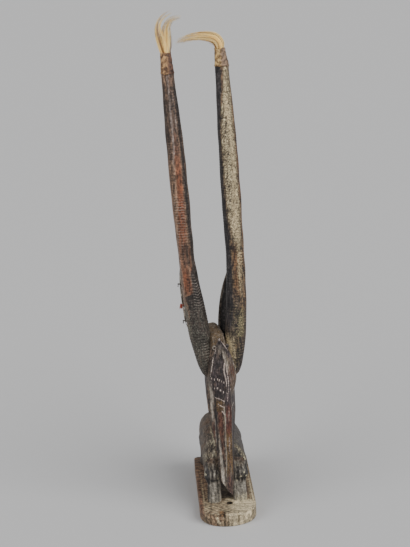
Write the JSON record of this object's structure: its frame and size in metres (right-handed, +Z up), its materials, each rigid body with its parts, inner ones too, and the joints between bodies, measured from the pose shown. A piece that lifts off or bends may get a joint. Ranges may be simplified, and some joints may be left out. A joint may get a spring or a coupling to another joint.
{
  "type": "antelope headdress",
  "caption": "Tall carved wooden antelope headdress on a plinth, with long ringed horns, hide bindings and hair tufts on the horn tips.",
  "frame": {"origin": "centre of the plinth's flat underside", "axes": "+Z up along the horns, -Y the way the face looks and the muzzle end of the plinth, +X to the right of someone who looks at the face"},
  "size_m": [0.127, 0.24, 0.8545],
  "materials": {
    "carved_wood": "dark handled patina, worn to pale wood at the plinth's front end, with pale pigment left in the cuts",
    "hide_binding": "dry and mottled",
    "animal_hair": "straw coloured strands",
    "dark_thread": "matte",
    "red_thread": "matte"
  },
  "bodies": {
    "root": {"antelope_carving": "carved_wood", "left_tip_binding": "hide_binding", "right_tip_binding": "hide_binding", "left_hair_tuft": "animal_hair", "right_hair_tuft": "animal_hair", "ear_thread_upper": "dark_thread", "ear_thread_red": "red_thread", "ear_thread_lower": "dark_thread"}
  },
  "joints": []
}
